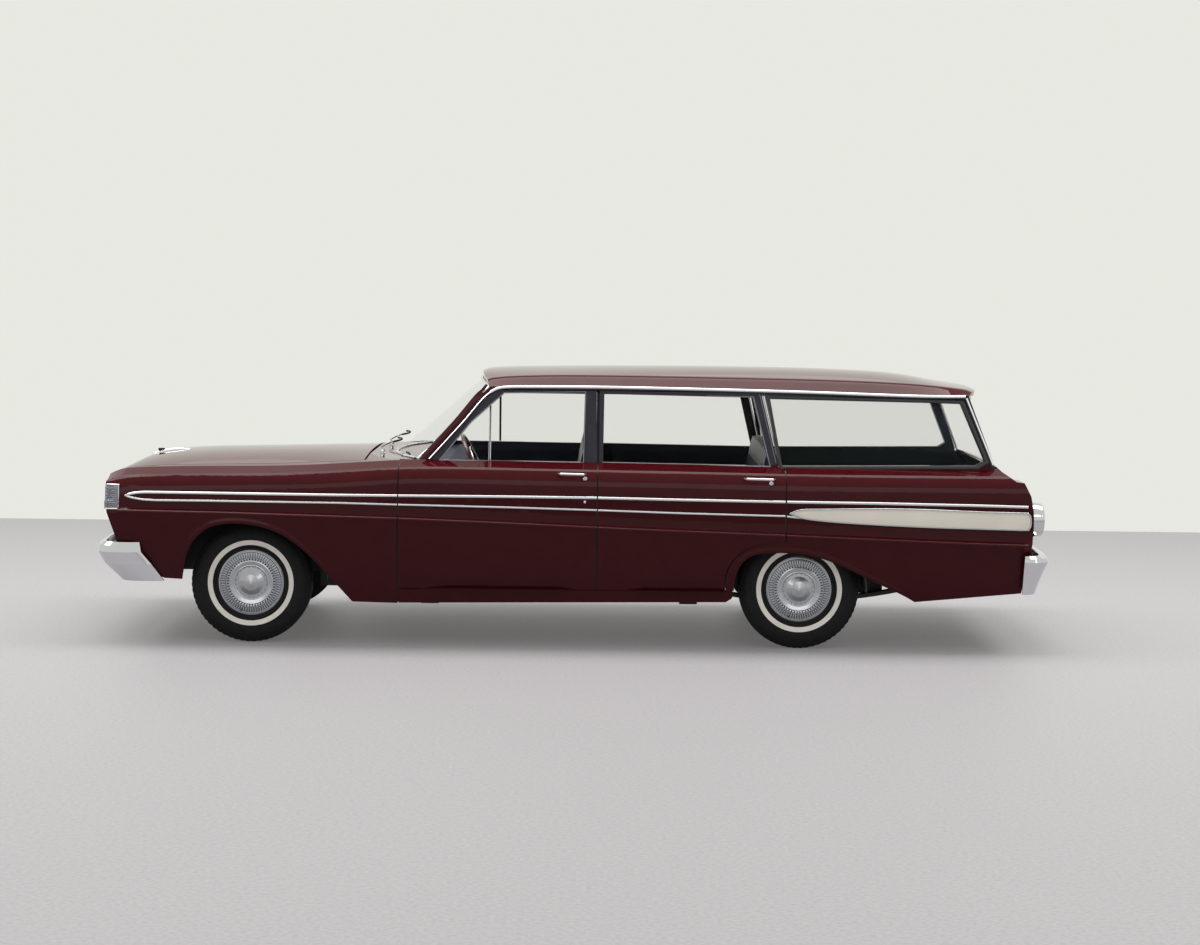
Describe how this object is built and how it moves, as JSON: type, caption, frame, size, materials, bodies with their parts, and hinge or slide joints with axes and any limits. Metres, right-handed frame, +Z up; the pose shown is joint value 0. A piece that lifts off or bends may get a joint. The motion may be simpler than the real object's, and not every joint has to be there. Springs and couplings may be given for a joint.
{
  "type": "station wagon",
  "caption": "Five-door station wagon with opening doors, hood and drop tailgate, steered front wheels and wheels that roll.",
  "frame": {"origin": "centre of the bounding box, on the floor the tyres stand on", "axes": "+X towards the rear of the car, -X to its front, -Y to its left side, +Z up"},
  "size_m": [4.8699, 1.8122, 1.4019],
  "materials": {
    "body_paint": "deep maroon gloss enamel",
    "underbody_paint": "black underbody enamel, satin",
    "chrome_trim": "bright chrome plating",
    "grille_bright": "bright anodised",
    "lens_clear": "clear fluted lens",
    "lens_red": "ribbed red lens",
    "window_glass": "clear, slight green tint",
    "engine_iron": "painted cast iron",
    "core_black": "matt black",
    "chassis_steel": "satin black chassis paint",
    "exhaust_steel": "dull aluminised steel",
    "dash_paint": "dark semi-gloss",
    "seat_vinyl": "sewn vinyl, soft sheen",
    "wheel_silver": "satin silver cover",
    "tyre_rubber": "matt rubber with a white band",
    "rim_plastic": "dark maroon moulded rim"
  },
  "bodies": {
    "body": {"body_glass": "window_glass", "body_side_left": "body_paint", "body_side_right": "body_paint", "cowl": "body_paint", "dashboard": "dash_paint", "engine": "engine_iron", "exhaust": "exhaust_steel", "floor_pan": "underbody_paint", "front_bumper": "chrome_trim", "front_fenders": "body_paint", "front_lamps": "lens_clear", "front_seat": "seat_vinyl", "front_suspension": "chassis_steel", "fuel_tank": "underbody_paint", "grille": "grille_bright", "nose_panel": "body_paint", "radiator": "core_black", "rear_axle": "chassis_steel", "rear_bumper": "chrome_trim", "rear_panel": "body_paint", "rear_seat": "seat_vinyl", "roof": "body_paint", "tail_lamps": "lens_red"},
    "hood": {"hood": "body_paint"},
    "tailgate": {"tailgate": "body_paint", "tailgate_glass": "window_glass"},
    "steering_wheel": {"steering_wheel": "rim_plastic"},
    "door_front_left": {"door_front_left": "body_paint", "glass_front_left": "window_glass"},
    "wheel_front_left": {"wheel_front_left": "wheel_silver", "tyre_front_left": "tyre_rubber"},
    "door_rear_left": {"door_rear_left": "body_paint", "glass_rear_left": "window_glass"},
    "wheel_rear_left": {"wheel_rear_left": "wheel_silver", "tyre_rear_left": "tyre_rubber"},
    "knuckle_left": {"knuckle_left": "chassis_steel"},
    "door_front_right": {"door_front_right": "body_paint", "glass_front_right": "window_glass"},
    "wheel_front_right": {"wheel_front_right": "wheel_silver", "tyre_front_right": "tyre_rubber"},
    "door_rear_right": {"door_rear_right": "body_paint", "glass_rear_right": "window_glass"},
    "wheel_rear_right": {"wheel_rear_right": "wheel_silver", "tyre_rear_right": "tyre_rubber"},
    "knuckle_right": {"knuckle_right": "chassis_steel"}
  },
  "joints": [
    {"name": "hood_hinge", "type": "hinge", "parent": "body", "child": "hood", "pos_m": [-1.07, 0, 0.944], "axis": [0, 1, 0], "range_deg": [0, 50]},
    {"name": "tailgate_hinge", "type": "hinge", "parent": "body", "child": "tailgate", "pos_m": [2.327, 0, 0.561], "axis": [0, 1, 0], "range_deg": [0, 90]},
    {"name": "steering_turn", "type": "hinge", "parent": "body", "child": "steering_wheel", "pos_m": [-0.504, -0.38, 0.863], "axis": [0.9063, 0, 0.4226], "range_deg": [-620, 620]},
    {"name": "door_front_left_hinge", "type": "hinge", "parent": "body", "child": "door_front_left", "pos_m": [-0.815, -0.864, 0.6], "axis": [0, 0, -1], "range_deg": [0, 65]},
    {"name": "door_rear_left_hinge", "type": "hinge", "parent": "body", "child": "door_rear_left", "pos_m": [0.187, -0.864, 0.6], "axis": [0, 0, -1], "range_deg": [0, 65]},
    {"name": "steer_left", "type": "hinge", "parent": "body", "child": "knuckle_left", "pos_m": [-1.6355, -0.64, 0.305], "axis": [0, 0, 1], "range_deg": [-31, 31]},
    {"name": "spin_front_left", "type": "hinge", "parent": "knuckle_left", "child": "wheel_front_left", "pos_m": [-1.6355, -0.6985, 0.305], "axis": [0, 1, 0], "continuous": true},
    {"name": "spin_rear_left", "type": "hinge", "parent": "body", "child": "wheel_rear_left", "pos_m": [1.1455, -0.711, 0.305], "axis": [0, 1, 0], "continuous": true},
    {"name": "door_front_right_hinge", "type": "hinge", "parent": "body", "child": "door_front_right", "pos_m": [-0.815, 0.864, 0.6], "axis": [0, 0, 1], "range_deg": [0, 65]},
    {"name": "door_rear_right_hinge", "type": "hinge", "parent": "body", "child": "door_rear_right", "pos_m": [0.187, 0.864, 0.6], "axis": [0, 0, 1], "range_deg": [0, 65]},
    {"name": "steer_right", "type": "hinge", "parent": "body", "child": "knuckle_right", "pos_m": [-1.6355, 0.64, 0.305], "axis": [0, 0, 1], "range_deg": [-31, 31]},
    {"name": "spin_front_right", "type": "hinge", "parent": "knuckle_right", "child": "wheel_front_right", "pos_m": [-1.6355, 0.6985, 0.305], "axis": [0, 1, 0], "continuous": true},
    {"name": "spin_rear_right", "type": "hinge", "parent": "body", "child": "wheel_rear_right", "pos_m": [1.1455, 0.711, 0.305], "axis": [0, 1, 0], "continuous": true}
  ],
  "couplings": [
    {"joint": "steer_right", "follows": "steer_left", "ratio": 1},
    {"joint": "steering_turn", "follows": "steer_left", "ratio": -20}
  ]
}
